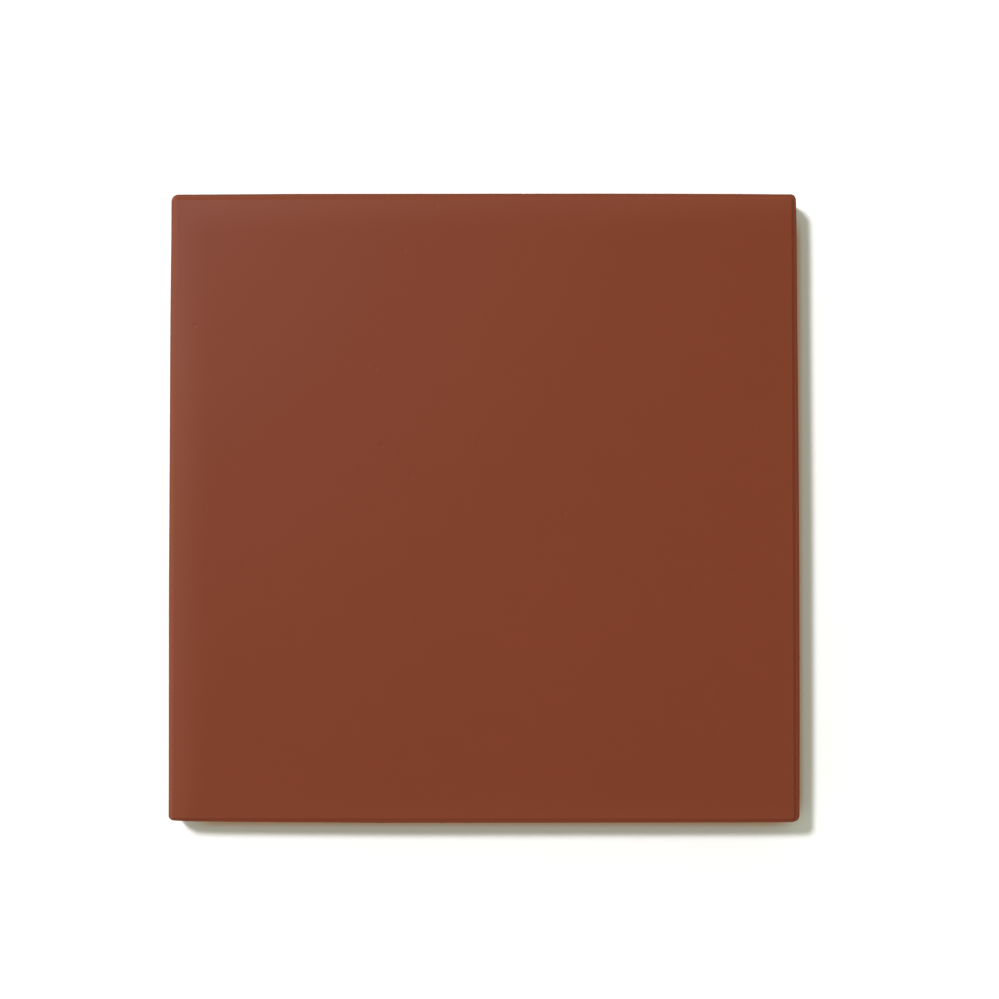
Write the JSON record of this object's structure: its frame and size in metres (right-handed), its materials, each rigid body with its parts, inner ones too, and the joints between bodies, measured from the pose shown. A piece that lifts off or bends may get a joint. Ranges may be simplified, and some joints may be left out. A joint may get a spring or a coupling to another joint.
{
  "type": "clinker tile",
  "caption": "Square unglazed clinker floor tile with a smooth bevelled wear face, rounded corners and a keying grid pressed into its bed face.",
  "frame": {"origin": "middle of the bed face, in the plane that the tile rests on", "axes": "+Z out of the wear face; +X and +Y square to the sides, +Y towards the top edge of the picture"},
  "size_m": [0.1, 0.1, 0.009],
  "materials": {
    "fired_clay": "unglazed vitrified red-brown clay, smooth and matt with a faint sheen"
  },
  "bodies": {
    "root": {"tile": "fired_clay"}
  },
  "joints": []
}
